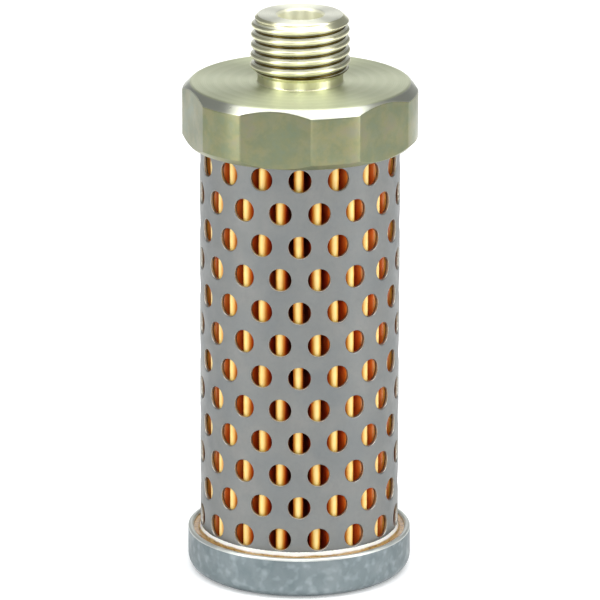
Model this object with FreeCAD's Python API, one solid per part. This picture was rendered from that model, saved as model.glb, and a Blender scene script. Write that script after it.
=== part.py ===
"""Pneumatic muffler: a threaded steel head and a pressed end cap, potted onto the two ends of a
perforated shell that holds a pleated medium around a perforated core.  Millimetres.

Origin: centre of the end cap's flat base.  +Z: along the axis, towards the threaded port.
-Y is the front: one column of shell holes faces it, and the shell's seam faces +Y.
"""
import FreeCAD, Part
import math
import os

V = FreeCAD.Vector
AXIS = V(0, 0, 1)
ORIGIN = V(0, 0, 0)

# ---- driving dimensions ----------------------------------------------------------------------
TOTAL_HEIGHT = 78.75

# head: one turned piece with six wrench flats, a threaded spigot and a recess underneath
HEAD_BOTTOM = 61.02
HEAD_TOP = 69.40
HEAD_RADIUS = 16.08
ACROSS_FLATS = 30.63
FLAT_TURN = -12.4            # degrees from the front to the first flat's centre
HEAD_TOP_CHAMFER = 1.16
HEAD_BOTTOM_CHAMFER = 0.85
RECESS_RADIUS = 13.95
RECESS_CEILING = 65.38
RECESS_LEAD_IN = 0.30
BOSS_RADIUS = 4.80
BOSS_BOTTOM = 63.58
BOSS_CHAMFER = 0.30
BORE_RADIUS = 3.05
BORE_MOUTH_RADIUS = 3.35
NECK_RADIUS = 5.83
NECK_FILLET = 0.30
NECK_TOP = 71.07
SPIGOT_END_RADIUS = 5.78

# 1/4-18 NPT: 18 threads to the inch, 60 degree form, diameter tapering by 1 in 16
THREAD_PITCH = 25.4 / 18
THREAD_END_RADIUS = 13.255 / 2
THREAD_DEPTH = 0.70
THREAD_TAPER = 1 / 32        # growth of the radius for each millimetre away from the end
THREAD_FLANK = math.radians(30)
THREAD_CREST = 0.40
THREAD_START = 70.30         # height of the groove's centre where the helix starts, on +X
CUTTER_OVERLAP = 0.10
THREAD_SPANS = 2             # solids in each turn of the groove's cutter
THREAD_POINTS = 12           # points along each of their edges

# shell: rolled from perforated sheet, with a plain margin at each end and a welded seam
SHELL_RADIUS = 13.68
SHELL_WALL = 0.50
SHELL_BOTTOM = 1.40
SHELL_TOP = 64.98
HOLE_RADIUS = 1.57
HOLES_PER_ROW = 16
HOLE_ROWS = 12
TOP_ROW = 58.95
ROW_PITCH = 4.627
SEAM_TURN = 180.0            # degrees from the front
SEAM_LAND = 6.0              # no hole has its centre this close to the seam, in degrees
BEAD_WIDTH = 0.90
BEAD_HEIGHT = 0.12
DRILL_MARGIN = 0.50          # how far the drills of the holes run past the wall on each side

# pleated medium: one folded sheet
PLEATS = 32
PLEAT_TURN = -0.85           # degrees from the front to the nearest crest
SHEET = 0.36
CREST_REACH = 13.02
CREST_BEND = 0.50            # radius of the sheet's middle surface round a crest
VALLEY_REACH = 6.00
VALLEY_BEND = 0.27
MEDIUM_BOTTOM = 1.90
MEDIUM_TOP = 64.58

# clip: a folded strip that holds the two ends of the sheet together along one pleat at the back
CLIP_WALL = 0.25
CLIP_GAP = 0.03
CLIP_CREST = 12.72
CLIP_FOOT = 9.90
CLIP_BOTTOM = 2.40
CLIP_TOP = 64.08

# core: a perforated tube that carries the air along the middle of the pleats
CORE_RADIUS = 5.45
CORE_WALL = 0.50
CORE_BOTTOM = 1.40
CORE_TOP = 64.98
CORE_HOLE_RADIUS = 1.00
CORE_HOLES_PER_ROW = 8
CORE_HOLE_ROWS = 14
CORE_TOP_ROW = 58.45
CORE_ROW_PITCH = 3.80

# end cap: a pressed cup with a rounded rim
CAP_RADIUS = 15.44
CAP_WALL = 0.80
CAP_RIM = 5.93
CAP_CORNER = 1.97

# adhesive that fixes both ends
LOWER_LEVEL = 5.51
MENISCUS_REACH = 0.95        # how far the adhesive climbs the shell
MENISCUS_SPREAD = 0.62
MENISCUS_KNEE = (0.28, 0.30)  # shares of the spread and the reach where its slope changes
WALL_CLIMB = 0.20            # height and width of the small meniscus on the cap's wall
UPPER_LEVEL = 61.53


# ---- helpers ---------------------------------------------------------------------------------
def polar(radius, turn, z=0.0):
    """A point at this radius, turned by this many degrees from the front (-Y) towards +X."""
    a = math.radians(turn)
    return V(radius * math.sin(a), -radius * math.cos(a), z)


def three_on_arc(centre, radius, start_deg, end_deg):
    """Start, middle and end of an arc in the (r, z) plane, angles counted from +r towards +z."""
    points = []
    for deg in (start_deg, (start_deg + end_deg) / 2, end_deg):
        a = math.radians(deg)
        points.append((centre[0] + radius * math.cos(a), centre[1] + radius * math.sin(a)))
    return points


def revolve(outline):
    """Turn a closed outline in (r, z) into a solid; an entry of three points is an arc."""
    def corner(entry):
        return entry if isinstance(entry[0], (int, float)) else None

    def vector(rz):
        return V(rz[0], 0, rz[1])

    edges = []
    first = outline[0] if corner(outline[0]) else outline[0][0]
    last = first
    for entry in outline:
        start = entry if corner(entry) else entry[0]
        if vector(start).distanceToPoint(vector(last)) > 1e-7:
            edges.append(Part.LineSegment(vector(last), vector(start)).toShape())
        last = start
        if not corner(entry):
            edges.append(Part.Arc(*[vector(p) for p in entry]).toShape())
            last = entry[2]
    if vector(last).distanceToPoint(vector(first)) > 1e-7:
        edges.append(Part.LineSegment(vector(last), vector(first)).toShape())
    return Part.Face(Part.Wire(edges)).revolve(ORIGIN, AXIS, 360)


def ring(outer, inner, bottom, top):
    """A plain tube between two heights."""
    solid = Part.makeCylinder(outer, top - bottom, V(0, 0, bottom))
    if inner <= 0:
        return solid
    return solid.cut(Part.makeCylinder(inner, top - bottom, V(0, 0, bottom)))


def drill_rows(tube, radius, wall, hole_radius, per_row, rows, top_row, row_pitch, land):
    """Cut staggered rows of round holes through a tube, leaving a land along the seam."""
    length = wall + 2 * DRILL_MARGIN
    step = 360.0 / per_row
    drills = []
    for row in range(rows):
        stagger = step / 2 if row % 2 else 0.0
        z = top_row - row * row_pitch
        for k in range(per_row):
            turn = stagger + k * step
            from_seam = abs((turn - SEAM_TURN + 180.0) % 360.0 - 180.0)
            if from_seam < land:
                continue
            start = polar(radius - wall - DRILL_MARGIN, turn, z)
            drills.append(Part.makeCylinder(hole_radius, length, start, polar(1, turn)))
    return tube.cut(Part.makeCompound(drills))


def export(shape, node):
    """Write one node's solid, after checking that it is a sound single solid."""
    solids = shape.Solids
    assert len(solids) == 1, f"{node} has {len(solids)} solids"
    assert solids[0].isValid() and solids[0].Volume > 0, f"{node} is not a sound solid"
    os.makedirs("parts", exist_ok=True)
    solids[0].exportStep(os.path.join("parts", node + ".step"))
    print(f"{node}: {solids[0].Volume:.1f} mm3, {len(solids[0].Faces)} faces")
    return solids[0]


# ---- head ------------------------------------------------------------------------------------
def thread_radius(z):
    """Crest radius of the tapered thread at a height."""
    return THREAD_END_RADIUS + (TOTAL_HEIGHT - z) * THREAD_TAPER


def helical_edge(first_turn, outwards, upwards):
    """Edge along the tapering helix, offset from the root of the groove's centre line."""
    points = []
    for i in range(THREAD_POINTS + 1):
        turn = first_turn + i / THREAD_POINTS / THREAD_SPANS
        z = THREAD_START + THREAD_PITCH * turn
        radius = thread_radius(z) - THREAD_DEPTH + outwards
        a = 2 * math.pi * turn
        points.append(V(radius * math.cos(a), radius * math.sin(a), z + upwards))
    curve = Part.BSplineCurve()
    curve.interpolate(Points=points)
    return curve.toShape()


def groove_span(first_turn):
    """One short span of the groove's cutter: a 60 degree trapezoid carried along the helix."""
    mouth = THREAD_DEPTH + CUTTER_OVERLAP
    half_mouth = (THREAD_PITCH - THREAD_CREST) / 2 + CUTTER_OVERLAP * math.tan(THREAD_FLANK)
    half_root = half_mouth - mouth * math.tan(THREAD_FLANK)
    section = [(0, -half_root), (mouth, -half_mouth), (mouth, half_mouth), (0, half_root)]
    edges = [helical_edge(first_turn, out, up) for out, up in section]
    faces = [Part.makeRuledSurface(low, high, 1) for low, high in zip(edges, edges[1:] + edges[:1])]
    for end in (0, -1):
        corners = [edge.Vertexes[end].Point for edge in edges]
        faces.append(Part.Face(Part.makePolygon(corners + corners[:1])))
    skin = Part.makeCompound(faces)
    skin.sewShape()
    return Part.makeSolid(skin.Shells[0])


def thread_groove():
    """The helical groove's cutter, in spans from the neck to just past the spigot's end."""
    turns = math.ceil((TOTAL_HEIGHT + THREAD_PITCH - THREAD_START) / THREAD_PITCH)
    return [groove_span(k / THREAD_SPANS) for k in range(turns * THREAD_SPANS)]


def make_head():
    """The turned body, then its six flats, then its thread."""
    top_edge = HEAD_RADIUS - HEAD_TOP_CHAMFER
    bottom_edge = HEAD_RADIUS - HEAD_BOTTOM_CHAMFER
    run_in = thread_radius(NECK_TOP) - NECK_RADIUS
    end_chamfer = THREAD_END_RADIUS - SPIGOT_END_RADIUS
    body = revolve([
        (BORE_RADIUS, BOSS_BOTTOM),
        (BOSS_RADIUS - BOSS_CHAMFER, BOSS_BOTTOM),
        (BOSS_RADIUS, BOSS_BOTTOM + BOSS_CHAMFER),
        (BOSS_RADIUS, RECESS_CEILING),
        (RECESS_RADIUS, RECESS_CEILING),
        (RECESS_RADIUS, HEAD_BOTTOM + RECESS_LEAD_IN),
        (RECESS_RADIUS + RECESS_LEAD_IN, HEAD_BOTTOM),
        (bottom_edge, HEAD_BOTTOM),
        (HEAD_RADIUS, HEAD_BOTTOM + HEAD_BOTTOM_CHAMFER),
        (HEAD_RADIUS, HEAD_TOP - HEAD_TOP_CHAMFER),
        (top_edge, HEAD_TOP),
        three_on_arc((NECK_RADIUS + NECK_FILLET, HEAD_TOP + NECK_FILLET), NECK_FILLET, 270, 180),
        (NECK_RADIUS, NECK_TOP - run_in / 2),
        (thread_radius(NECK_TOP), NECK_TOP + run_in / 2),
        (THREAD_END_RADIUS, TOTAL_HEIGHT - end_chamfer),
        (SPIGOT_END_RADIUS, TOTAL_HEIGHT),
        (BORE_MOUTH_RADIUS, TOTAL_HEIGHT),
        (BORE_RADIUS, TOTAL_HEIGHT - (BORE_MOUTH_RADIUS - BORE_RADIUS)),
    ])
    side = ACROSS_FLATS / math.sqrt(3)
    corners = [polar(side, FLAT_TURN + 30 + 60 * k, HEAD_BOTTOM) for k in range(6)]
    hexagon = Part.Face(Part.makePolygon(corners + corners[:1]))
    keep = hexagon.extrude(V(0, 0, HEAD_TOP - HEAD_BOTTOM))
    spigot_room = Part.makeCylinder(
        top_edge - HEAD_TOP_CHAMFER, TOTAL_HEIGHT - HEAD_TOP, V(0, 0, HEAD_TOP))
    body = body.common(keep.fuse(spigot_room))
    return body.cut(thread_groove())


# ---- shell and core --------------------------------------------------------------------------
def make_outer_shell():
    """Perforated tube with a raised weld bead along its seam."""
    inner = SHELL_RADIUS - SHELL_WALL
    bead_box = Part.makeBox(
        BEAD_WIDTH, SHELL_WALL + BEAD_HEIGHT, SHELL_TOP - SHELL_BOTTOM,
        V(-BEAD_WIDTH / 2, inner + SHELL_WALL / 2, SHELL_BOTTOM))
    bead = bead_box.common(
        Part.makeCylinder(SHELL_RADIUS + BEAD_HEIGHT, TOTAL_HEIGHT))
    tube = ring(SHELL_RADIUS, inner, SHELL_BOTTOM, SHELL_TOP).fuse(bead)
    return drill_rows(
        tube, SHELL_RADIUS, SHELL_WALL, HOLE_RADIUS, HOLES_PER_ROW, HOLE_ROWS, TOP_ROW,
        ROW_PITCH, SEAM_LAND)


def make_core_tube():
    """Perforated core tube."""
    tube = ring(CORE_RADIUS, CORE_RADIUS - CORE_WALL, CORE_BOTTOM, CORE_TOP)
    return drill_rows(
        tube, CORE_RADIUS, CORE_WALL, CORE_HOLE_RADIUS, CORE_HOLES_PER_ROW, CORE_HOLE_ROWS,
        CORE_TOP_ROW, CORE_ROW_PITCH, 0.0)


# ---- pleated medium --------------------------------------------------------------------------
def turned(x, y, turn):
    """A point at x outwards and y sideways, in the plane, on the ray at this turn."""
    a = math.radians(turn)
    return V(x * math.sin(a) + y * math.cos(a), -x * math.cos(a) + y * math.sin(a), 0)


def flank(offset):
    """One flank of a pleat whose crest is on the ray at turn 0, for a surface this far outside
    the sheet's middle: crest centre and radius, valley centre and radius, the flank's two ends."""
    crest_radius = CREST_BEND + offset
    valley_radius = VALLEY_BEND - offset
    crest_x = CREST_REACH - SHEET / 2 - CREST_BEND
    valley_ray = math.radians(180.0 / PLEATS)
    valley_distance = VALLEY_REACH + SHEET / 2 + VALLEY_BEND
    valley = (valley_distance * math.cos(valley_ray), valley_distance * math.sin(valley_ray))
    dx = valley[0] - crest_x
    dy = valley[1]
    span = math.hypot(dx, dy)
    normal = math.atan2(dy, dx) - math.acos((crest_radius + valley_radius) / span)
    nx, ny = math.cos(normal), math.sin(normal)
    upper = (crest_x + crest_radius * nx, crest_radius * ny)
    lower = (valley[0] - valley_radius * nx, valley[1] - valley_radius * ny)
    return (crest_x, crest_radius), (valley, valley_radius), upper, lower


def pleat_outline(offset):
    """Closed wire that follows every pleat, offset from the sheet's middle surface."""
    (crest_x, crest_radius), (valley, valley_radius), upper, lower = flank(offset)
    step = 360.0 / PLEATS
    half = math.radians(step / 2)
    bottom = math.hypot(*valley) - valley_radius
    valley_floor = (bottom * math.cos(half), bottom * math.sin(half))
    edges = []
    for k in range(PLEATS):
        turn = PLEAT_TURN + k * step
        edges.append(Part.Arc(
            turned(upper[0], -upper[1], turn),
            turned(crest_x + crest_radius, 0, turn),
            turned(upper[0], upper[1], turn)).toShape())
        edges.append(Part.LineSegment(
            turned(upper[0], upper[1], turn),
            turned(lower[0], lower[1], turn)).toShape())
        edges.append(Part.Arc(
            turned(lower[0], lower[1], turn),
            turned(valley_floor[0], valley_floor[1], turn),
            turned(lower[0], -lower[1], turn + step)).toShape())
        edges.append(Part.LineSegment(
            turned(lower[0], -lower[1], turn + step),
            turned(upper[0], -upper[1], turn + step)).toShape())
    return Part.Wire(edges)


def seam_pleat():
    """Turn of the crest at the back, where the sheet's two ends meet."""
    return PLEAT_TURN + 360.0 / PLEATS * (PLEATS // 2)


def make_pleated_medium():
    """The folded sheet, open along the crest that the clip closes."""
    face = Part.Face(pleat_outline(SHEET / 2)).cut(Part.Face(pleat_outline(-SHEET / 2)))
    face.translate(V(0, 0, MEDIUM_BOTTOM))
    sheet = face.extrude(V(0, 0, MEDIUM_TOP - MEDIUM_BOTTOM))
    start = CLIP_CREST - CLIP_WALL - CLIP_GAP
    half_width = CREST_BEND + SHEET
    cut = Part.makeBox(2 * half_width, CREST_REACH, MEDIUM_TOP, V(-half_width, start, 0))
    cut.rotate(ORIGIN, AXIS, seam_pleat() - 180.0)
    return sheet.cut(cut)


def make_seam_clip():
    """A U-shaped strip over the sheet's two ends, as long as the pleats less a margin."""
    _, _, upper, lower = flank(SHEET / 2)
    slope = (lower[1] - upper[1]) / (lower[0] - upper[0])
    lean = math.hypot(1, slope)

    def side(x, gap):
        return upper[1] + (x - upper[0]) * slope + gap * lean

    outer_gap = CLIP_GAP + CLIP_WALL
    inner_crest = CLIP_CREST - CLIP_WALL
    half = [
        (CLIP_FOOT, side(CLIP_FOOT, CLIP_GAP)),
        (CLIP_FOOT, side(CLIP_FOOT, outer_gap)),
        (CLIP_CREST - CLIP_WALL, side(inner_crest, outer_gap)),
        (CLIP_CREST, side(CLIP_CREST, outer_gap) - CLIP_WALL),
    ]
    inside = (inner_crest, side(inner_crest, CLIP_GAP))
    outline = half + [(x, -y) for x, y in reversed(half)] + [(inside[0], -inside[1]), inside]
    points = [turned(x, y, seam_pleat()) + V(0, 0, CLIP_BOTTOM) for x, y in outline]
    face = Part.Face(Part.makePolygon(points + points[:1]))
    return face.extrude(V(0, 0, CLIP_TOP - CLIP_BOTTOM))


# ---- end cap and adhesive --------------------------------------------------------------------
def make_end_cap():
    """Pressed cup: a flat base, a rounded corner, a straight wall and a rounded rim."""
    inner = CAP_RADIUS - CAP_WALL
    inner_corner = CAP_CORNER - CAP_WALL
    edge = CAP_WALL / 2
    return revolve([
        (0, 0),
        three_on_arc((CAP_RADIUS - CAP_CORNER, CAP_CORNER), CAP_CORNER, 270, 360),
        three_on_arc((CAP_RADIUS - edge, CAP_RIM - edge), edge, 0, 180),
        three_on_arc((inner - inner_corner, CAP_WALL + inner_corner), inner_corner, 360, 270),
        (0, CAP_WALL),
    ])


def make_lower_potting(embedded):
    """Adhesive in the end cap, with a meniscus up the shell and a small one up the cap wall."""
    inner = CAP_RADIUS - CAP_WALL
    corner = CAP_CORNER - CAP_WALL
    knee_out, knee_up = MENISCUS_KNEE
    body = revolve([
        (0, CAP_WALL),
        three_on_arc((inner - corner, CAP_WALL + corner), corner, 270, 360),
        (inner, LOWER_LEVEL + WALL_CLIMB),
        (inner - WALL_CLIMB, LOWER_LEVEL),
        (SHELL_RADIUS + MENISCUS_SPREAD, LOWER_LEVEL),
        (SHELL_RADIUS + MENISCUS_SPREAD * knee_out, LOWER_LEVEL + MENISCUS_REACH * knee_up),
        (SHELL_RADIUS, LOWER_LEVEL + MENISCUS_REACH),
        (SHELL_RADIUS, LOWER_LEVEL),
        (0, LOWER_LEVEL),
    ])
    return body.cut(embedded)


def make_upper_potting(embedded):
    """Adhesive in the head's recess, around the boss."""
    body = ring(RECESS_RADIUS, CORE_RADIUS - CORE_WALL, UPPER_LEVEL, RECESS_CEILING)
    return body.cut(embedded)


def main():
    """Make every node and write it."""
    export(make_head(), "head")
    shell = export(make_outer_shell(), "outer_shell")
    medium = export(make_pleated_medium(), "pleated_medium")
    clip = export(make_seam_clip(), "pleat_seam_clip")
    core = export(make_core_tube(), "core_tube")
    export(make_end_cap(), "end_cap")
    embedded = [shell, medium, clip, core]
    export(make_lower_potting(embedded), "lower_potting")
    export(make_upper_potting(embedded), "upper_potting")


main()
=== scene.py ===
"""The looks of a pneumatic muffler: a plated head, a perforated shell over a pleated medium, and a
pressed cup, potted together.  Lengths are worked out in millimetres and written in metres.

Angles called "turn" are counted in degrees from the front (-Y) towards +X.
"""
import math

import bmesh
import bpy
import numpy as np
from mathutils import Matrix, Vector, noise


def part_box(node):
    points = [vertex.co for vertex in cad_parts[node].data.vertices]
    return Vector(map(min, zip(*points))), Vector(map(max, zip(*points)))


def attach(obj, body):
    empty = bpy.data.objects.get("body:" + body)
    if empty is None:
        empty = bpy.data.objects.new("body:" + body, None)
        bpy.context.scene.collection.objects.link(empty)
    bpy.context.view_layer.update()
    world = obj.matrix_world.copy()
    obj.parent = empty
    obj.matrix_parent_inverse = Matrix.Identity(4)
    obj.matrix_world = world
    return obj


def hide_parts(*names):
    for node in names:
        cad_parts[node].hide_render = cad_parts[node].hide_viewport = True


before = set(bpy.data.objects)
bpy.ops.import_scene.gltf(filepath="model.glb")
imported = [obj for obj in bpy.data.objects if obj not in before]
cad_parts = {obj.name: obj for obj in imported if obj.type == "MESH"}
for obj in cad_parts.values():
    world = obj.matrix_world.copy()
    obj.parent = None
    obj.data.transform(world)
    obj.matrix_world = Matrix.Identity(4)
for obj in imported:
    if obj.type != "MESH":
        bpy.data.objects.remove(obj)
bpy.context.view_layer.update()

MM = 0.001


def box_mm(node):
    """Lowest and highest corner of a CAD node, in millimetres."""
    low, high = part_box(node)
    return low / MM, high / MM


HEAD_LOW, HEAD_HIGH = box_mm("head")
SHELL_LOW, SHELL_HIGH = box_mm("outer_shell")
_, CAP_HIGH = box_mm("end_cap")
MEDIUM_LOW, MEDIUM_HIGH = box_mm("pleated_medium")

# head, one turned piece
HEAD_BOTTOM = HEAD_LOW.z
HEAD_TOP = 69.40
HEAD_END = HEAD_HIGH.z
HEAD_RADIUS = HEAD_HIGH.x
APOTHEM = 30.63 / 2
FLATS = 6
FLAT_STEP = 360 / FLATS
FLAT_TURN = -12.4
TOP_CHAMFER = 1.16
BOTTOM_CHAMFER = 0.85
RECESS_RADIUS = 13.95
RECESS_CEILING = 65.38
RECESS_LEAD_IN = 0.30
BOSS_RADIUS = 4.80
BOSS_BOTTOM = 63.58
BORE_RADIUS = 3.05
BORE_MOUTH = 3.35
NECK_RADIUS = 5.83
NECK_FILLET = 0.30
NECK_TOP = 71.07
END_FACE_RADIUS = 5.78
THREAD_PITCH = 25.4 / 18
THREAD_END_RADIUS = 13.255 / 2
THREAD_DEPTH = 0.70
THREAD_TAPER = 1 / 32
THREAD_CREST = 0.40
THREAD_START = 70.30
THREAD_HALF_ANGLE = 30
CREST_EASE = 0.28       # width over which the crest's corners are rounded, in depth
ROOT_EASE = 0.14
RUN_EASE = 0.06         # the same, where the thread meets the neck and the end chamfer
THREAD_STEP = 0.045     # distance between the rings of points along the thread
END_GAP = 0.03          # where those rings stop below the end face
FLAT_EASE = 0.05        # the same as RUN_EASE, where a flat meets the round side
FLAT_MARGIN = 0.06      # least height and width of the bottom chamfer at the flats
MACHINED_EDGE = 0.04    # how far before a corner its rounding starts
LEAD_IN_EDGE = 0.05
MOUTH_EDGE = 0.12
BORE_EDGE = 0.15
SIDE_EDGE = 0.16
RECESS_EDGE = 0.20
BOSS_EDGE = 0.25
TOP_EDGE = 0.38
BORE_STRAIGHT = 8       # length of bore below its mouth that has points of its own
END_LAND = 0.8          # length at the spigot's end where the thread's roots get no painted shade

# perforated shell
SHELL_RADIUS = SHELL_HIGH.x
SHELL_WALL = 0.50
HOLE_RADIUS = 1.57
HOLE_ROLL = 0.13        # radius of the rolled edge that the punch leaves
HOLE_FLARE = 0.03       # growth of the hole at the inside of the sheet
PER_ROW = 16
ROWS = 12
TOP_ROW = 58.95
ROW_PITCH = 4.627
SEAM_LAND = 6.0
BEAD_WIDTH = 0.90
BEAD_HEIGHT = 0.11
BEAD_SINK = 0.20
BEAD_RIPPLE = 0.62      # distance between two ripples
BEAD_WANDER = 0.06
SHEET_LIP = 0.06        # rounding of the sheet's two round edges

# pleated medium
PLEATS = 32
PLEAT_TURN = -0.85
SHEET = 0.36
CREST_REACH = 13.02
CREST_BEND = 0.50
VALLEY_REACH = 6.00
VALLEY_BEND = 0.27
CLIP_OPENING = 12.44
PLEAT_LEVELS = 46
PLEAT_LEAN = 0.30       # degrees by which a whole crest may stand aside
PLEAT_WAVE = 0.35       # degrees by which it wanders along its length
PLEAT_DIP = 0.02        # millimetres by which it may stand back

# cup and adhesive
CAP_RADIUS = CAP_HIGH.x
CAP_RIM = CAP_HIGH.z
CAP_WALL = 0.80
CAP_CORNER = 1.97
ADHESIVE_LEVEL = 5.51
ADHESIVE_CLIMB = 0.90
ADHESIVE_SPREAD = 0.40  # how far from the shell the climbing part reaches
ADHESIVE_SHORE = 0.20   # the same at the cup's wall
ADHESIVE_LIP = 0.16     # and how high it climbs there
ADHESIVE_BASE = 3.2     # height of the adhesive's lower side
ADHESIVE_SAG = 0.1      # how far it sags in the middle of the shell
OVERLAP = 0.02          # how far it reaches into the cup's wall
POOL_GAP = 0.02         # and how far it stays off the inside of the shell
CAP_DENT = 0.035        # depth of the waves in the drawn wall

FINE_TURNS = 360


# ---- mesh building ---------------------------------------------------------------------------
def build(name, points, faces, material, slot, *nodes):
    """Make a smooth mesh piece from points in millimetres, ride it and let it stand for nodes."""
    mesh = bpy.data.meshes.new(name)
    mesh.from_pydata((np.asarray(points, float) * MM).tolist(), [], faces)
    mesh.validate()
    mesh.polygons.foreach_set("use_smooth", [True] * len(mesh.polygons))
    mesh.materials.append(material)
    piece = bpy.data.objects.new(name, mesh)
    bpy.context.scene.collection.objects.link(piece)
    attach(piece, "root")
    if nodes:
        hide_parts(*nodes)
    return piece


def ring_points(radius, z, turns):
    """Points at these radii and heights (numbers or arrays), at these turns."""
    a = np.radians(turns)
    radius = np.broadcast_to(radius, a.shape)
    z = np.broadcast_to(z, a.shape)
    return np.stack([radius * np.sin(a), -radius * np.cos(a), z], 1)


def wrap_rows(rows, closed_rows, cap_ends=False):
    """Points and quads of rows of rings, each ring closed; the rows may close on themselves too."""
    count = len(rows[0])
    points = np.concatenate(rows)
    faces = []
    last = len(rows) if closed_rows else len(rows) - 1
    for i in range(last):
        a = i * count
        b = (i + 1) % len(rows) * count
        for j in range(count):
            k = (j + 1) % count
            faces.append((a + j, a + k, b + k, b + j))
    if cap_ends:
        faces.append(tuple(range(count - 1, -1, -1)))
        faces.append(tuple((len(rows) - 1) * count + j for j in range(count)))
    return points, faces


def rounded(corners, steps=4):
    """Follow corners (r, z, cut): each is replaced by a smooth curve that starts `cut` before it.
    r and z may be arrays over the turns.  Returns (r, z) rows."""
    out = []
    shape = np.broadcast(*[np.asarray(c[0], float) for c in corners]).shape
    grid = [np.stack([np.broadcast_to(c[0], shape), np.broadcast_to(c[1], shape)], -1).astype(float)
            for c in corners]
    for i, (_, _, cut) in enumerate(corners):
        here = grid[i]
        if cut == 0:
            out.append(here)
            continue
        before = grid[i - 1] - here
        after = grid[(i + 1) % len(grid)] - here
        start = here + before / np.maximum(np.linalg.norm(before, axis=-1, keepdims=True), 1e-9) * cut
        stop = here + after / np.maximum(np.linalg.norm(after, axis=-1, keepdims=True), 1e-9) * cut
        for s in range(steps + 1):
            t = s / steps
            out.append(start * (1 - t) ** 2 + here * 2 * t * (1 - t) + stop * t ** 2)
    return [(row[..., 0], row[..., 1]) for row in out]


def smooth_least(a, b, blend):
    """The smaller of two values, with the corner between them rounded over `blend`."""
    h = np.clip(0.5 + 0.5 * (b - a) / blend, 0, 1)
    return b * (1 - h) + a * h - blend * h * (1 - h)


def smooth_most(a, b, blend):
    """The larger of two values, with the corner between them rounded over `blend`."""
    return -smooth_least(-a, -b, blend)


# ---- head ------------------------------------------------------------------------------------
def head_turns():
    """Even turns, with extra ones close to the edges of the six flats."""
    half = math.degrees(math.acos(APOTHEM / HEAD_RADIUS))
    turns = set(np.round(np.arange(0, 360, 360 / FINE_TURNS), 4))
    for k in range(FLATS):
        for side in (-half, half):
            for nudge in (-0.75, -0.5, -0.25, -0.12, 0, 0.12, 0.25, 0.5, 0.75):
                turns.add(round((FLAT_TURN + FLAT_STEP * k + side + nudge) % 360, 4))
    return np.array(sorted(turns))


def flat_limit(turns):
    """Radius of the head's side at each turn: round, cut by six flats."""
    from_flat = (turns - FLAT_TURN + FLAT_STEP / 2) % FLAT_STEP - FLAT_STEP / 2
    flat = APOTHEM / np.cos(np.radians(from_flat))
    return smooth_least(np.full_like(flat, HEAD_RADIUS), flat, FLAT_EASE)


def thread_surface(turns, z):
    """Radius of the threaded spigot at each turn, at one height."""
    crest = THREAD_END_RADIUS + (HEAD_END - z) * THREAD_TAPER
    from_x = (turns - 90) / 360
    phase = ((z - THREAD_START) / THREAD_PITCH - from_x + 0.5) % 1 - 0.5
    from_centre = np.abs(phase) * THREAD_PITCH
    half_mouth = (THREAD_PITCH - THREAD_CREST) / 2
    flank_slope = 1 / math.tan(math.radians(THREAD_HALF_ANGLE))
    depth = np.clip((half_mouth - from_centre) * flank_slope, -0.5, 5)
    depth = smooth_most(depth, np.zeros_like(depth), CREST_EASE)
    depth = smooth_least(depth, np.full_like(depth, THREAD_DEPTH), ROOT_EASE)
    radius = crest - depth
    crest_at_neck = THREAD_END_RADIUS + (HEAD_END - NECK_TOP) * THREAD_TAPER
    run_in = NECK_RADIUS + z - (NECK_TOP - (crest_at_neck - NECK_RADIUS) / 2)
    run_out = END_FACE_RADIUS + HEAD_END - z
    radius = smooth_least(radius, np.full_like(radius, run_in), RUN_EASE)
    radius = smooth_least(radius, np.full_like(radius, run_out), RUN_EASE)
    return np.maximum(radius, min(NECK_RADIUS, run_out))


def make_head(material):
    """One closed surface: bore, boss, recess, underside, flats, top, neck, thread, end face."""
    turns = head_turns()
    side = flat_limit(turns)
    top_edge = HEAD_RADIUS - TOP_CHAMFER
    bottom_edge = HEAD_RADIUS - BOTTOM_CHAMFER
    plain = np.zeros_like(side)
    body = rounded([
        (BORE_RADIUS + plain, BOSS_BOTTOM, BORE_EDGE),
        (BOSS_RADIUS, BOSS_BOTTOM, BOSS_EDGE),
        (BOSS_RADIUS, RECESS_CEILING, RECESS_EDGE),
        (RECESS_RADIUS, RECESS_CEILING, RECESS_EDGE),
        (RECESS_RADIUS, HEAD_BOTTOM + RECESS_LEAD_IN, LEAD_IN_EDGE),
        (RECESS_RADIUS + RECESS_LEAD_IN, HEAD_BOTTOM, LEAD_IN_EDGE),
        (np.minimum(bottom_edge, side - FLAT_MARGIN), HEAD_BOTTOM, MACHINED_EDGE),
        (side, HEAD_BOTTOM + np.maximum(side - bottom_edge, FLAT_MARGIN), MACHINED_EDGE),
        (side, HEAD_TOP - (side - top_edge), SIDE_EDGE),
        (top_edge, HEAD_TOP, TOP_EDGE),
        (NECK_RADIUS, HEAD_TOP, NECK_FILLET),
        (NECK_RADIUS, HEAD_TOP + 2 * NECK_FILLET, 0),
    ])
    rows = [ring_points(r, z, turns) for r, z in body]
    thread_from = HEAD_TOP + 2.5 * NECK_FILLET
    for z in np.arange(thread_from, HEAD_END - END_GAP, THREAD_STEP):
        rows.append(ring_points(thread_surface(turns, z), z, turns))
    end_rim = thread_surface(turns, HEAD_END)
    end = rounded([
        (end_rim, HEAD_END - 0.02, 0),
        (end_rim - 0.04, HEAD_END, 0),
        (BORE_MOUTH + plain, HEAD_END, MOUTH_EDGE),
        (BORE_RADIUS + plain, HEAD_END - (BORE_MOUTH - BORE_RADIUS), MOUTH_EDGE),
        (BORE_RADIUS + plain, HEAD_END - BORE_STRAIGHT, 0),
    ])
    rows += [ring_points(r, z, turns) for r, z in end]
    points, faces = wrap_rows(rows, closed_rows=True)
    build("head_turned", points, faces, material, "head_plating", "head")


# ---- shell -----------------------------------------------------------------------------------
ACROSS = 8              # edge points along the top of a hole's cell
DOWN = 6                # and down its side
INNER_SHARE = 0.7       # where the ring round the hole lies on the inside of the sheet


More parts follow.
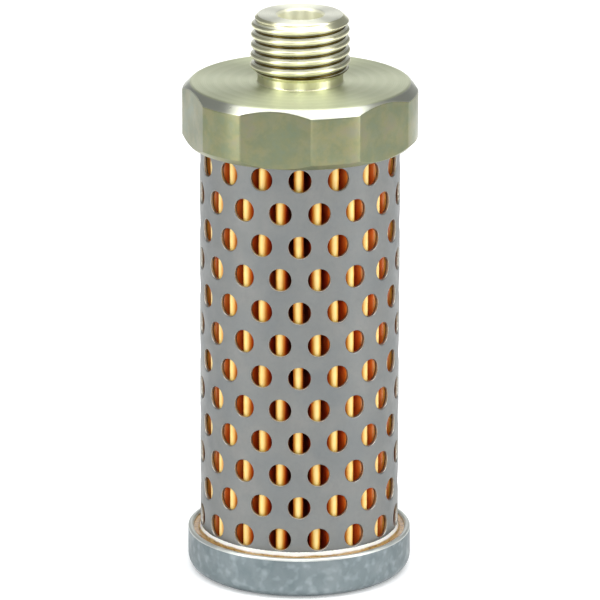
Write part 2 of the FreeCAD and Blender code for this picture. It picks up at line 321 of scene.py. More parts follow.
def cell_outline():
    """Points round one hole's cell, in units of half its width and half its height."""
    top = [(-1 + 2 * i / ACROSS, 1) for i in range(ACROSS)]
    right = [(1, 1 - 2 * i / DOWN) for i in range(DOWN)]
    bottom = [(1 - 2 * i / ACROSS, -1) for i in range(ACROSS)]
    left = [(-1, -1 + 2 * i / DOWN) for i in range(DOWN)]
    return np.array(top + right + bottom + left)


def hole_rings():
    """Rings from the cell's edge into the hole and out at the back: (share of the way from the
    cell's edge to the hole, growth of the hole's radius, depth below the outer surface)."""
    rings = [(0.0, 0, 0), (0.5, HOLE_ROLL, 0), (0.85, HOLE_ROLL, 0)]
    for s in range(5):
        a = math.radians(90 * s / 4)
        rings.append((1.0, HOLE_ROLL * (1 - math.sin(a)), HOLE_ROLL * (1 - math.cos(a))))
    rings += [(1.0, 0, SHELL_WALL * 0.7), (1.0, HOLE_FLARE, SHELL_WALL)]
    rings += [(INNER_SHARE, HOLE_FLARE, SHELL_WALL), (0.0, 0, SHELL_WALL)]
    return rings


def make_shell(material):
    """The rolled sheet: a cell of mesh around each hole, and plain margins at both ends.  Cells
    next to the seam have no hole, and a fan closes them on each side of the sheet."""
    outline = cell_outline()
    step = 360 / PER_ROW
    half_width = math.radians(step / 2) * SHELL_RADIUS
    half_height = ROW_PITCH / 2
    edge = outline * (half_width, half_height)
    around = len(outline)
    direction = np.arctan2(edge[:, 1], edge[:, 0])
    circle = np.stack([np.cos(direction), np.sin(direction)], 1)
    rings = hole_rings()
    points, faces = [], []

    def place(flat, turn, z, depth):
        across = flat[:, 0] / SHELL_RADIUS
        return ring_points(SHELL_RADIUS - depth, z + flat[:, 1], turn + np.degrees(across))

    def add_ring(ring):
        points.extend(ring)
        return len(points) - len(ring)

    def bridge(a, b, count):
        for j in range(count):
            k = (j + 1) % count
            faces.append((a + j, b + j, b + k, a + k))

    for row in range(ROWS):
        z = TOP_ROW - row * ROW_PITCH
        for k in range(PER_ROW):
            turn = (k + (row % 2) / 2) * step
            solid = abs((turn % 360) - 180) < SEAM_LAND
            previous = None
            for share, growth, depth in rings:
                if solid and share == 1.0:
                    continue
                hole = circle * (HOLE_RADIUS + growth)
                flat = edge * (1 - share) + hole * share
                if solid and share > 0:
                    flat = flat * (1 - share)
                start = add_ring(place(flat, turn, z, depth))
                if solid and share == INNER_SHARE and depth > 0:
                    centre = add_ring(place(np.zeros((1, 2)), turn, z, 0))
                    for j in range(around):
                        faces.append((previous + j, centre, previous + (j + 1) % around))
                    centre = add_ring(place(np.zeros((1, 2)), turn, z, depth))
                    for j in range(around):
                        faces.append((centre, start + j, start + (j + 1) % around))
                    previous = start
                    continue
                if previous is not None:
                    bridge(previous, start, around)
                previous = start

    columns = PER_ROW * ACROSS
    turns = np.arange(columns) * 360 / columns
    upper_seam = TOP_ROW + half_height
    lower_seam = TOP_ROW - (ROWS - 1) * ROW_PITCH - half_height
    for seam, end, sign in ((upper_seam, SHELL_HIGH.z, 1), (lower_seam, SHELL_LOW.z, -1)):
        middle, edge_z = (seam + end) / 2, end - sign * SHEET_LIP
        levels = [(0, seam), (0, middle), (0, edge_z), (SHEET_LIP, end),
                  (SHELL_WALL - SHEET_LIP, end), (SHELL_WALL, edge_z),
                  (SHELL_WALL, middle), (SHELL_WALL, seam)]
        previous = None
        for depth, z in levels:
            start = add_ring(ring_points(SHELL_RADIUS - depth, z, turns))
            if previous is not None:
                pair = (start, previous) if sign < 0 else (previous, start)
                for j in range(columns):
                    k = (j + 1) % columns
                    faces.append((pair[0] + j, pair[0] + k, pair[1] + k, pair[1] + j))
            previous = start
    shell = build("shell_sheet", points, faces, material, "shell_steel", "outer_shell")
    weld_points(shell.data)


def weld_points(mesh):
    """Join the points that neighbouring cells share, and make the normals agree."""
    work = bmesh.new()
    work.from_mesh(mesh)
    bmesh.ops.remove_doubles(work, verts=work.verts, dist=2e-6)
    bmesh.ops.recalc_face_normals(work, faces=work.faces)
    work.to_mesh(mesh)
    work.free()
    mesh.update()


def make_weld(material):
    """The seam's weld bead at the back, with the ripples of its passes."""
    across = 9
    heights = np.arange(SHELL_LOW.z + 0.05, SHELL_HIGH.z - 0.05, 0.12)
    rows = []
    for z in heights:
        ring = []
        wander = BEAD_WANDER * noise.noise(Vector((0, 3.1, z * 0.35)))
        for i in range(across):
            u = -1 + 2 * i / (across - 1)
            ripple = 0.5 + 0.5 * math.cos(2 * math.pi * (z + 0.25 * u * u) / BEAD_RIPPLE)
            lift = BEAD_HEIGHT * math.sqrt(max(0.0, 1 - u * u)) * (0.72 + 0.28 * ripple)
            radius = SHELL_RADIUS + (lift if abs(u) < 1 else -0.02)
            ring.append((u * BEAD_WIDTH / 2 + wander, radius, z))
        ring += [(-ring[across - 1 - i][0], SHELL_RADIUS - BEAD_SINK, z) for i in range(across)]
        rows.append(np.array(ring))
    points, faces = wrap_rows(rows, closed_rows=False, cap_ends=True)
    bead = build("shell_seam_weld", points, faces, material, "shell_steel")
    weld_points(bead.data)


# ---- pleated medium --------------------------------------------------------------------------
def flank(offset):
    """One flank's tangent points on its crest and valley curves, for a surface this far outside
    the sheet's middle; the crest is on the ray at turn 0, and x points outwards."""
    crest_radius = CREST_BEND + offset
    valley_radius = VALLEY_BEND - offset
    crest_x = CREST_REACH - SHEET / 2 - CREST_BEND
    ray = math.radians(180 / PLEATS)
    distance = VALLEY_REACH + SHEET / 2 + VALLEY_BEND
    valley = (distance * math.cos(ray), distance * math.sin(ray))
    dx, dy = valley[0] - crest_x, valley[1]
    lean = math.atan2(dy, dx) - math.acos((crest_radius + valley_radius) / math.hypot(dx, dy))
    upper = (crest_x + crest_radius * math.cos(lean), crest_radius * math.sin(lean))
    lower = (valley[0] - valley_radius * math.cos(lean), valley[1] - valley_radius * math.sin(lean))
    return crest_x, crest_radius, valley, valley_radius, upper, lower, lean


def pleat_half(offset):
    """Points (x, y) from the crest's middle down one flank to the valley's middle."""
    crest_x, crest_radius, valley, valley_radius, upper, lower, lean = flank(offset)
    points = []
    for i in range(7):
        a = lean * i / 6
        points.append((crest_x + crest_radius * math.cos(a), crest_radius * math.sin(a)))
    for i in range(1, 9):
        t = i / 9
        points.append((upper[0] + (lower[0] - upper[0]) * t, upper[1] + (lower[1] - upper[1]) * t))
    ray = math.radians(180 / PLEATS)
    start, stop = lean + math.pi, ray + math.pi
    for i in range(5):
        a = start + (stop - start) * i / 4
        points.append((valley[0] + valley_radius * math.cos(a), valley[1] + valley_radius * math.sin(a)))
    return points


def pleat_chain(offset):
    """Plan points (radius, turn, pleat) of the whole sheet, from one side of the clip to the other."""
    half = pleat_half(offset)
    opening = [p for p in half if p[0] < CLIP_OPENING]
    chain = []
    for k in range(PLEATS + 1):
        turn = PLEAT_TURN + 360 / PLEATS * (PLEATS // 2 + k)
        if k > 0:
            side = opening if k == PLEATS else half
            for x, y in reversed(side):
                chain.append((math.hypot(x, y), turn + math.degrees(math.atan2(-y, x)), k))
        if k < PLEATS:
            side = opening if k == 0 else half[1:]
            for x, y in side[:-1]:
                chain.append((math.hypot(x, y), turn + math.degrees(math.atan2(y, x)), k))
    return chain


def make_pleats(material):
    """The folded sheet, with the small waves and leans that folded paper has."""
    outer = pleat_chain(SHEET / 2)
    inner = pleat_chain(-SHEET / 2)
    levels = np.linspace(MEDIUM_LOW.z, MEDIUM_HIGH.z, PLEAT_LEVELS)
    count = len(outer)
    points = []
    for z in levels:
        for chain in (outer, inner):
            for radius, turn, k in chain:
                depth = (CREST_REACH - radius) / (CREST_REACH - VALLEY_REACH)
                free = min(1.0, max(0.0, 1 - depth))
                lean = PLEAT_LEAN * noise.noise(Vector((k * 1.7, 0.4, z * 0.05)))
                wave = PLEAT_WAVE * noise.noise(Vector((k * 2.3, 7.7, z * 0.22)))
                back = -PLEAT_DIP * (1 + noise.noise(Vector((k * 0.9, 3.3, z * 0.30)))) * free
                a = math.radians(turn + (lean + wave) * free)
                r = radius + back
                points.append((r * math.sin(a), -r * math.cos(a), z))
    faces = []
    per_level = 2 * count
    for i in range(len(levels) - 1):
        a, b = i * per_level, (i + 1) * per_level
        for j in range(count - 1):
            faces.append((a + j, a + j + 1, b + j + 1, b + j))
            faces.append((a + count + j + 1, a + count + j, b + count + j, b + count + j + 1))
        faces.append((a + count - 1, a + 2 * count - 1, b + 2 * count - 1, b + count - 1))
        faces.append((a + count, a, b, b + count))
    top = (len(levels) - 1) * per_level
    for j in range(count - 1):
        faces.append((j + 1, j, count + j, count + j + 1))
        faces.append((top + j, top + j + 1, top + count + j + 1, top + count + j))
    build("pleat_sheet", points, faces, material, "medium_paper", "pleated_medium")


# ---- cup and adhesive ------------------------------------------------------------------------
def arc_rows(centre, radius, start, stop, steps):
    """(r, z) along an arc, angles in degrees from +r towards +z."""
    rows = []
    for i in range(steps + 1):
        a = math.radians(start + (stop - start) * i / steps)
        rows.append((centre[0] + radius * math.cos(a), centre[1] + radius * math.sin(a)))
    return rows


def make_cup(material):
    """The pressed cup, with the slight waviness of a drawn wall."""
    turns = np.arange(0, 360, 360 / 240)
    inner = CAP_RADIUS - CAP_WALL
    inner_corner = CAP_CORNER - CAP_WALL
    rim = CAP_WALL / 2
    middle = 0.5
    outline = [(middle, 0), (4, 0), (9, 0)]
    outline += arc_rows((CAP_RADIUS - CAP_CORNER, CAP_CORNER), CAP_CORNER, 270, 360, 8)
    outline += [(CAP_RADIUS, z) for z in (2.2, 3.0, 3.8, 4.5)]
    outline += arc_rows((CAP_RADIUS - rim, CAP_RIM - rim), rim, 0, 180, 12)
    outline += [(inner, z) for z in (4.5, 3.0)]
    outline += arc_rows((inner - inner_corner, CAP_WALL + inner_corner), inner_corner, 360, 270, 5)
    outline += [(9, CAP_WALL), (4, CAP_WALL), (middle, CAP_WALL)]
    rows = []
    for r, z in outline:
        on_wall = max(0.0, min(1.0, (r - 13) / 2)) * max(0.0, min(1.0, z / 2))
        waves = np.array([noise.noise(Vector((math.sin(a) * 2.2, math.cos(a) * 2.2, z * 0.12)))
                          for a in np.radians(turns)])
        dent = -CAP_DENT * (waves + 1) * on_wall
        rows.append(ring_points(r + dent, z, turns))
    points, faces = wrap_rows(rows, closed_rows=False, cap_ends=True)
    cup = build("cap_cup", points, faces, material, "cap_galvanised", "end_cap")
    weld_points(cup.data)


def make_trough(material):
    """Adhesive between shell and cup: it climbs both walls by uneven amounts, and fills the
    inside of the shell to the same level."""
    turns = np.arange(0, 360, 360 / 480)
    inner = CAP_RADIUS - CAP_WALL

    def uneven(seed, scale):
        return np.array([noise.noise(Vector((math.sin(a) * scale + seed, math.cos(a) * scale, seed)))
                         for a in np.radians(turns)])

    climb = ADHESIVE_CLIMB * (1 + 0.10 * uneven(2.0, 2.0) + 0.05 * uneven(5.0, 9.0))
    level = ADHESIVE_LEVEL + 0.05 * uneven(8.0, 1.6) + 0.03 * uneven(11.0, 6.0)
    lip = ADHESIVE_LIP + 0.08 * uneven(14.0, 5.0)
    spread = ADHESIVE_SPREAD + 0.05 * uneven(17.0, 4.0)
    base = ADHESIVE_BASE
    rows = [ring_points(SHELL_RADIUS - 0.05, base, turns)]
    rows.append(ring_points(SHELL_RADIUS - 0.05, level + climb - 0.06, turns))
    rows.append(ring_points(SHELL_RADIUS - 0.01, level + climb, turns))
    for i in range(1, 11):
        a = math.radians(9 * i)
        share = 1 - math.cos(a)
        height = level + climb * (1 - math.sin(a))
        rows.append(ring_points(SHELL_RADIUS + spread * share, height, turns))
    shore = inner - ADHESIVE_SHORE
    rows.append(ring_points((SHELL_RADIUS + spread + shore) / 2, level - 0.01, turns))
    for i in range(0, 7):
        a = math.radians(15 * i)
        rows.append(ring_points(shore + ADHESIVE_SHORE * math.sin(a), level + lip * (1 - math.cos(a)), turns))
    rows.append(ring_points(inner + OVERLAP, level + lip - 0.05, turns))
    rows.append(ring_points(inner + OVERLAP, base, turns))
    points, faces = wrap_rows(rows, closed_rows=True)
    pool_turns = turns[::4]
    pool_reach = SHELL_RADIUS - SHELL_WALL - POOL_GAP
    sagged = ADHESIVE_LEVEL - ADHESIVE_SAG
    pool = [ring_points(r, z, pool_turns) for r, z in (
        (1.0, base), (pool_reach, base), (pool_reach, ADHESIVE_LEVEL), (9.0, sagged), (1.0, sagged))]
    pool_points, pool_faces = wrap_rows(pool, closed_rows=False, cap_ends=True)
    shift = len(points)
    faces += [tuple(v + shift for v in f) for f in pool_faces]
    piece = build("adhesive_trough", np.concatenate([points, pool_points]), faces, material,
                  "adhesive", "lower_potting")
    weld_points(piece.data)


# ---- materials -------------------------------------------------------------------------------
class Graph:
    """A material's nodes, made one by one."""

    def __init__(self, name):
        self.material = bpy.data.materials.new(name)
        self.material.use_nodes = True
        self.nodes = self.material.node_tree.nodes
        self.nodes.clear()
        self.shader = self.add("ShaderNodeBsdfPrincipled")
        output = self.add("ShaderNodeOutputMaterial")
        self.link(self.shader.outputs["BSDF"], output.inputs["Surface"])
        self.place = self.add("ShaderNodeTexCoord").outputs["Object"]

    def add(self, kind, **settings):
        node = self.nodes.new(kind)
        for key, value in settings.items():
            setattr(node, key, value)
        return node

    def link(self, source, target):
        self.material.node_tree.links.new(source, target)

    def set(self, **sockets):
        """Set constants on the shader's sockets; a _ stands for a blank in their names."""
        for key, value in sockets.items():
            self.shader.inputs[key.replace("_", " ")].default_value = value

    def math(self, operation, a, b=0.0, clamp=False):
        """One step of arithmetic; a and b may be sockets or numbers."""
        node = self.add("ShaderNodeMath", operation=operation, use_clamp=clamp)
        for socket, value in zip(node.inputs, (a, b)):
            if isinstance(value, (int, float)):
                socket.default_value = value
            else:
                self.link(value, socket)
        return node.outputs[0]

    def scaled(self, x, y, z):
        """The place in millimetres, stretched by these factors."""
        node = self.add("ShaderNodeMapping")
        node.inputs["Scale"].default_value = (x / MM, y / MM, z / MM)
        self.link(self.place, node.inputs["Vector"])
        return node.outputs["Vector"]

    def noise(self, size_mm, detail=3.0, rough=0.55, stretch=(1, 1, 1), distortion=0.0):
        """Noise from 0 to 1 whose features are about this many millimetres."""
        node = self.add("ShaderNodeTexNoise")
        node.inputs["Scale"].default_value = 1.0 / size_mm
        node.inputs["Detail"].default_value = detail
        node.inputs["Roughness"].default_value = rough
        node.inputs["Distortion"].default_value = distortion
        self.link(self.scaled(*stretch), node.inputs["Vector"])
        return node.outputs["Fac"]

    def ramp(self, value, *stops):
        """Map a value through stops of (position, colour or grey)."""
        node = self.add("ShaderNodeValToRGB")
        elements = node.color_ramp.elements
        while len(elements) < len(stops):
            elements.new(0.5)
        for element, (position, tone) in zip(elements, stops):
            element.position = position
            grey = isinstance(tone, (int, float))
            element.color = (tone, tone, tone, 1) if grey else (*tone, 1)
        self.link(value, node.inputs["Fac"])
        return node.outputs["Color"]

    def mix(self, share, a, b, blend="MIX"):
        """Mix two colours; share, a and b may be sockets or values."""
        node = self.add("ShaderNodeMix", data_type="RGBA", blend_type=blend)
        for socket, value in zip((node.inputs[0], node.inputs[6], node.inputs[7]), (share, a, b)):
            if isinstance(value, (int, float)):
                socket.default_value = value
            elif isinstance(value, tuple):
                socket.default_value = (*value, 1)
            else:
                self.link(value, socket)
        return node.outputs[2]

    def bump(self, height, distance_mm, strength=1.0, below=None):
        """A normal from a height that is this many millimetres deep, on top of another normal."""
        node = self.add("ShaderNodeBump")
        node.inputs["Strength"].default_value = strength
        node.inputs["Distance"].default_value = distance_mm * MM
        self.link(height, node.inputs["Height"])
        if below is not None:
            self.link(below, node.inputs["Normal"])
        return node.outputs["Normal"]

    def radius(self):
        """Distance from the axis and height, in millimetres."""
        split = self.add("ShaderNodeSeparateXYZ")
        self.link(self.scaled(1, 1, 1), split.inputs[0])
        x2 = self.math("MULTIPLY", split.outputs[0], split.outputs[0])
        y2 = self.math("MULTIPLY", split.outputs[1], split.outputs[1])
        return self.math("SQRT", self.math("ADD", x2, y2)), split.outputs[2]

    def facing_up(self, least):
        """1 on faces whose normal rises or falls by more than this share, 0 on the others."""
        split = self.add("ShaderNodeSeparateXYZ")
        self.link(self.add("ShaderNodeNewGeometry").outputs["Normal"], split.inputs[0])
        upright = self.math("ABSOLUTE", split.outputs[2])
        return self.math("GREATER_THAN", upright, least)

    def finish(self, colour, roughness, normal):
        """Join the last three results to the shader and return the material."""
        self.link(colour, self.shader.inputs["Base Color"])
        self.link(roughness, self.shader.inputs["Roughness"])
        self.link(normal, self.shader.inputs["Normal"])
        return self.material


def head_plating():
    """Turned steel under an olive, faintly iridescent zinc passivate; paler on the thread. Painted light: the
    top chamfer, the flat faces across the axis and the rings on them are painted paler as highlights, and the
    thread's roots darker as shade.
    """
    g = Graph("olive_zinc_passivate")
    g.set(Anisotropic=0.75, Anisotropic_Rotation=0.25)
    radius, height = g.radius()
    patches = g.noise(3.2, detail=5, rough=0.65, distortion=0.15)
    tint = g.ramp(patches, (0.30, (0.192, 0.228, 0.142)), (0.45, (0.222, 0.236, 0.130)),
                  (0.56, (0.268, 0.262, 0.140)), (0.70, (0.272, 0.250, 0.165)))
    second = g.noise(1.5, detail=5, rough=0.7, distortion=0.1)
    tint = g.mix(g.ramp(second, (0.40, 0.0), (0.72, 0.45)), tint, (0.205, 0.248, 0.188))
    pale = g.ramp(g.noise(1.6, detail=3), (0.35, (0.78, 0.77, 0.54)), (0.60, (0.82, 0.80, 0.54)),
                  (0.75, (0.68, 0.74, 0.58)))
    on_thread = g.math("GREATER_THAN", height, HEAD_TOP + 0.05)
    up = g.facing_up(0.85)
    milled = g.math("MULTIPLY", g.math("LESS_THAN", radius, HEAD_RADIUS - 0.04),
                    g.math("SUBTRACT", 1.0, g.facing_up(0.15)))
    tint = g.mix(g.math("MULTIPLY", milled, 0.16), tint, (0.08, 0.10, 0.08))
    # Painted highlight: the top chamfer is painted near-white, where it catches the light.
    chamfer = g.math("MULTIPLY", g.math("SUBTRACT", g.facing_up(0.30), up),
                     g.math("GREATER_THAN", height, HEAD_TOP - TOP_CHAMFER * 1.5))
    tint = g.mix(g.math("MULTIPLY", chamfer, 0.60), tint, (0.84, 0.86, 0.75))
    # Painted light: the flat faces across the axis, the top face most in view, are painted paler as if lit
    # from above.
    tint = g.mix(g.math("MULTIPLY", up, 0.80), tint, (0.68, 0.72, 0.49))
    wide = g.math("SINE", g.math("MULTIPLY", radius, 2 * math.pi / 1.6))
    # Paler rings on these faces: the real turning marks, painted paler as painted highlights.
    tint = g.mix(g.math("MULTIPLY", up, g.ramp(wide, (0.0, 0.0), (1.0, 0.12))), tint,
                 (0.84, 0.84, 0.66))
    # Painted shade: the colour darkens from the crests down into the thread's roots, where shade falls.
    crest = g.math("ADD", g.math("MULTIPLY", g.math("SUBTRACT", HEAD_END, height), THREAD_TAPER),
                   THREAD_END_RADIUS)
    below_crest = g.math("SUBTRACT", crest, radius)
    root = g.ramp(g.math("DIVIDE", below_crest, THREAD_DEPTH), (0.08, 0.0), (0.55, 1.0))
    threaded = g.math("MULTIPLY", g.math("GREATER_THAN", height, NECK_TOP),
                      g.math("LESS_THAN", height, HEAD_END - END_LAND))
    outside = g.math("GREATER_THAN", radius, NECK_RADIUS - 0.1)
    root = g.math("MULTIPLY", root, g.math("MULTIPLY", threaded, outside))
    pale = g.mix(root, pale, (0.12, 0.09, 0.022))
    # Painted light: the spigot's end face is painted paler, as if lit from above.
    pale = g.mix(g.math("MULTIPLY", up, 0.8), pale, (0.90, 0.91, 0.80))
    colour = g.mix(on_thread, tint, pale)
    rings = g.math("SINE", g.math("MULTIPLY", radius, 2 * math.pi / 0.30))
    tool = g.math("ADD", g.math("MULTIPLY", rings, 0.35), g.math("MULTIPLY", wide, 0.65))
    tool = g.math("MULTIPLY", tool, up)
    lathe = g.noise(0.35, detail=2, stretch=(0.08, 0.08, 2.5))
    side_marks = g.math("MULTIPLY", lathe, g.math("SUBTRACT", 1.0, up))
    grain = g.noise(0.22, detail=4, rough=0.7)
    normal = g.bump(tool, 0.020, 0.7)
    normal = g.bump(side_marks, 0.010, 0.55, below=normal)
    normal = g.bump(grain, 0.010, 0.45, below=normal)
    worn = g.noise(5.0, detail=4, rough=0.6)
    roughness = g.ramp(worn, (0.30, 0.27), (0.70, 0.40))
    roughness = g.mix(g.math("MULTIPLY", up, 0.8), roughness, (0.50, 0.50, 0.50))
    in_bore = g.math("LESS_THAN", radius, BORE_MOUTH - 0.02)
    colour = g.mix(g.math("MULTIPLY", in_bore, 0.7), colour, (0.88, 0.88, 0.70))
    roughness = g.mix(in_bore, roughness, (0.5, 0.5, 0.5))
    g.link(g.math("SUBTRACT", 1.0, g.math("MULTIPLY", in_bore, 0.45)), g.shader.inputs["Metallic"])
    return g.finish(colour, roughness, normal)


def shell_steel():
    """Satin steel sheet with fine rolling marks and faint stains; the punched hole walls get a painted
    highlight.
    """
    g = Graph("satin_sheet_steel")
    g.set(Metallic=1.0)
    stains = g.noise(6.0, detail=4, rough=0.55, distortion=0.5)
    colour = g.ramp(stains, (0.30, (0.192, 0.203, 0.203)), (0.55, (0.214, 0.220, 0.213)),
                    (0.75, (0.238, 0.237, 0.226)))
    speckle = g.noise(0.5, detail=4, rough=0.7)
    colour = g.mix(g.ramp(speckle, (0.45, 0.0), (0.80, 0.35)), colour, (0.163, 0.176, 0.181))
    radius, _ = g.radius()
    # Painted highlight: everything below the outer face, the punched hole walls most in view, is painted
    # paler.
    hole_wall_highlight = g.math("LESS_THAN", radius, SHELL_RADIUS - 0.05)
    colour = g.mix(g.math("MULTIPLY", hole_wall_highlight, 0.6), colour, (0.62, 0.60, 0.54))
    rolling = g.noise(0.16, detail=3, rough=0.6, stretch=(1.0, 1.0, 0.06))
    orange_peel = g.noise(0.8, detail=3, rough=0.5)
    normal = g.bump(rolling, 0.006, 0.6)
    normal = g.bump(orange_peel, 0.012, 0.5, below=normal)
    roughness = g.ramp(g.noise(2.5, detail=4, rough=0.65), (0.30, 0.36), (0.72, 0.50))
    return g.finish(colour, roughness, normal)


def medium_paper():
    """Resin-treated golden paper; its colour is painted palest on the crests and red-brown down in the
    valleys, a painted highlight and painted shade in the folds.
    """
    g = Graph("golden_pleated_paper")
    radius, _ = g.radius()
    # Colour by depth into the folds: pale gold at the crests as a painted highlight, darkening towards the
    # valleys as painted shade.
    depth = g.math("DIVIDE", g.math("SUBTRACT", CREST_REACH, radius), CREST_REACH - VALLEY_REACH,
                   clamp=True)
    colour = g.ramp(depth, (0.0, (0.97, 0.76, 0.31)), (0.014, (0.96, 0.60, 0.14)),
                    (0.034, (0.88, 0.34, 0.045)), (0.08, (0.85, 0.17, 0.02)),
                    (0.22, (0.62, 0.07, 0.010)), (0.55, (0.30, 0.025, 0.005)))
    fibres = g.noise(0.30, detail=5, rough=0.7, stretch=(1, 1, 0.35))
    colour = g.mix(g.ramp(fibres, (0.42, 0.0), (0.75, 0.40)), colour, (0.98, 0.70, 0.26),
                   blend="SOFT_LIGHT")
    blotch = g.noise(3.0, detail=3)
    colour = g.mix(g.ramp(blotch, (0.45, 0.0), (0.75, 0.30)), colour, (0.72, 0.34, 0.06))
    normal = g.bump(fibres, 0.020, 0.7)
    normal = g.bump(g.noise(0.09, detail=3), 0.006, 0.6, below=normal)
    roughness = g.ramp(g.noise(0.9, detail=3), (0.3, 0.30), (0.7, 0.46))
    g.set(Specular_IOR_Level=0.6, Coat_Weight=0.25, Coat_Roughness=0.22)
    return g.finish(colour, roughness, normal)


def adhesive():
    """Cured amber adhesive, gold to brown in the pool, with a painted highlight where it climbs the shell:
    that meniscus is painted near-white.
    """
    g = Graph("amber_adhesive")
    radius, height = g.radius()
    across = g.math("SUBTRACT", radius, SHELL_RADIUS)
    wander = g.math("MULTIPLY", g.math("SUBTRACT", g.noise(1.6, detail=3), 0.5), 0.30)
    climb = g.math("ADD", g.math("SUBTRACT", height, ADHESIVE_LEVEL), wander)
    pool = g.ramp(across, (0.05, (0.45, 0.30, 0.11)), (0.45, (0.36, 0.19, 0.045)),
                  (0.80, (0.46, 0.27, 0.075)), (1.0, (0.62, 0.46, 0.22)))
    streaks = g.noise(1.1, detail=3, rough=0.55, stretch=(1, 1, 3), distortion=0.8)
    pool = g.mix(g.ramp(streaks, (0.46, 0.0), (0.62, 0.85)), pool, (0.20, 0.11, 0.030))
    # Painted highlight: where the adhesive climbs the shell its colour turns near-white, standing in for the
    # meniscus's reflection.
    colour = g.mix(g.ramp(climb, (0.24, 0.0), (0.42, 1.0)), pool, (0.93, 0.92, 0.88))
    normal = g.bump(g.noise(0.9, detail=2), 0.05, 0.5)
    roughness = g.ramp(g.noise(1.5, detail=3), (0.3, 0.08), (0.7, 0.20))
    g.set(Specular_IOR_Level=0.35, Coat_Weight=0.25, Coat_Roughness=0.06, Subsurface_Weight=0.15)
    g.shader.inputs["Subsurface Radius"].default_value = (0.002, 0.001, 0.0004)
    return g.finish(colour, roughness, normal)


def cap_galvanised():
    """Blue-grey galvanised steel: soft pale spots in a slightly grained surface, and a painted highlight
    along the rim.
    """
    g = Graph("galvanised_steel")
    g.set(Metallic=0.9)
    cloud = g.noise(2.6, detail=3, rough=0.5, distortion=0.3)
    colour = g.ramp(cloud, (0.30, (0.158, 0.196, 0.206)), (0.52, (0.188, 0.226, 0.236)),
                    (0.74, (0.226, 0.262, 0.271)))
    spots = g.noise(1.10, detail=1.0, rough=0.4)
    colour = g.mix(g.ramp(spots, (0.50, 0.0), (0.92, 0.48)), colour, (0.46, 0.52, 0.54))
    _, height = g.radius()
    # Painted highlight: the top of the rim is painted near-white.
    rim = g.math("GREATER_THAN", height, CAP_RIM - CAP_WALL * 0.45)
    colour = g.mix(g.math("MULTIPLY", rim, 0.7), colour, (0.82, 0.84, 0.78))
    cells = g.add("ShaderNodeTexVoronoi")
    cells.inputs["Scale"].default_value = 1 / 0.9
    g.link(g.scaled(1, 1, 1), cells.inputs["Vector"])
    grain = g.noise(0.30, detail=4, rough=0.65)
    normal = g.bump(cells.outputs["Distance"], 0.010, 0.35)
    normal = g.bump(spots, 0.05, 0.4, below=normal)
    normal = g.bump(grain, 0.012, 0.5, below=normal)
    roughness = g.ramp(g.noise(1.8, detail=4, rough=0.6), (0.3, 0.34), (0.7, 0.50))
    return g.finish(colour, roughness, normal)


def dull_steel(name, tone, roughness_low, roughness_high):
    """Plain steel sheet for what is mostly out of sight."""
    g = Graph(name)
    g.set(Metallic=1.0)
    colour = g.ramp(g.noise(2.5, detail=4, rough=0.6), (0.3, tuple(t * 0.86 for t in tone)),
                    (0.7, tone))
    scratches = g.noise(0.12, detail=3, stretch=(1, 1, 0.05))
    normal = g.bump(scratches, 0.006, 0.6)
    roughness = g.ramp(g.noise(1.2, detail=3), (0.3, roughness_low), (0.7, roughness_high))
    return g.finish(colour, roughness, normal)


def repaint(node, material):
    """Give a carried-over CAD node a better material."""
    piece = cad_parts[node]
    piece.data.materials.clear()
    piece.data.materials.append(material)


# ---- stage -----------------------------------------------------------------------------------
def make_floor():
    """A plain pale floor."""
    half = 3.0
    mesh = bpy.data.meshes.new("floor")
    mesh.from_pydata([(-half, -half, 0), (half, -half, 0), (half, half, 0), (-half, half, 0)], [],
                     [(0, 1, 2, 3)])
    floor = bpy.data.objects.new("floor", mesh)
    bpy.context.scene.collection.objects.link(floor)
    g = Graph("pale_floor")
    colour = g.ramp(g.noise(40, detail=2), (0.3, 0.90), (0.7, 0.92))
    normal = g.bump(g.noise(2.0, detail=2), 0.01, 0.1)
    g.set(Specular_IOR_Level=0.2, Emission_Strength=0.22)
    g.shader.inputs["Emission Color"].default_value = (1, 1, 1, 1)
    mesh.materials.append(g.finish(colour, g.ramp(g.noise(30), (0, 0.7), (1, 0.75)), normal))


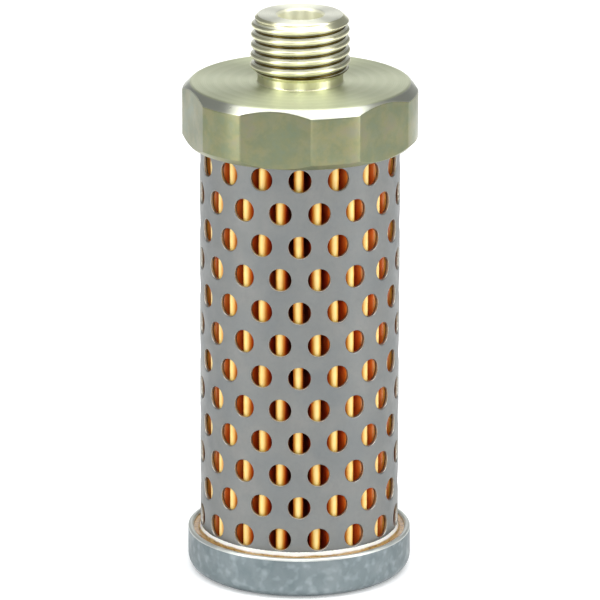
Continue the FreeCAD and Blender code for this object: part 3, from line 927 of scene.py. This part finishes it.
def soft_light(name, turn, elevation, distance, width, height, power):
    """A rectangular light that looks at the object's middle."""
    data = bpy.data.lights.new(name, "AREA")
    data.shape = "RECTANGLE"
    data.size = width
    data.size_y = height
    data.energy = power
    light = bpy.data.objects.new(name, data)
    a, e = math.radians(turn), math.radians(elevation)
    away = Vector((math.sin(a) * math.cos(e), -math.cos(a) * math.cos(e), math.sin(e)))
    middle = Vector((0, 0, HEAD_END * MM / 2))
    light.location = middle + away * distance
    light.rotation_euler = away.to_track_quat("Z", "Y").to_euler()
    bpy.context.scene.collection.objects.link(light)


def make_lights():
    """Soft boxes all round and overhead, and an even pale surround."""
    # name, turn, elevation, distance, width, height, power
    soft_light("left_box", -62, 20, 0.9, 0.30, 0.9, 2.9)
    soft_light("right_box", 68, 22, 0.9, 0.40, 0.9, 3.4)
    soft_light("overhead_box", 0, 80, 1.1, 1.8, 0.9, 16.0)
    soft_light("back_box", 180, 14, 0.9, 0.5, 0.50, 0.7)
    soft_light("front_box", 0, 22, 1.3, 0.45, 0.30, 3.0)
    world = bpy.data.worlds.new("studio")
    world.use_nodes = True
    world.node_tree.nodes["Background"].inputs["Color"].default_value = (0.93, 0.96, 1.0, 1)
    world.node_tree.nodes["Background"].inputs["Strength"].default_value = 0.28
    bpy.context.scene.world = world


def make_camera():
    """A long lens that looks slightly down on the front, rolled by a fraction of a degree."""
    elevation = math.radians(16.92)
    roll = 0.0025
    distance = 0.8368
    target = Vector((0.00004, 0, 0.03824))
    data = bpy.data.cameras.new("camera")
    data.sensor_width = 36
    data.lens = 365.5
    data.clip_end = 20
    camera = bpy.data.objects.new("camera", data)
    away = Vector((0, -math.cos(elevation), math.sin(elevation)))
    camera.location = target + away * distance
    camera.rotation_euler = (
        Matrix.Rotation(math.pi / 2 - elevation, 3, "X") @ Matrix.Rotation(roll, 3, "Z")).to_euler()
    bpy.context.scene.collection.objects.link(camera)
    bpy.context.scene.camera = camera


make_camera()
make_lights()
make_floor()
bpy.context.scene.view_settings.view_transform = "Standard"

steel = shell_steel()
amber = adhesive()
make_head(head_plating())
make_shell(steel)
make_weld(steel)
make_pleats(medium_paper())
make_cup(cap_galvanised())
make_trough(amber)
repaint("upper_potting", amber)
repaint("core_tube", dull_steel("dull_core_steel", (0.58, 0.57, 0.55), 0.35, 0.5))
repaint("pleat_seam_clip", dull_steel("bright_clip_steel", (0.70, 0.70, 0.69), 0.22, 0.34))
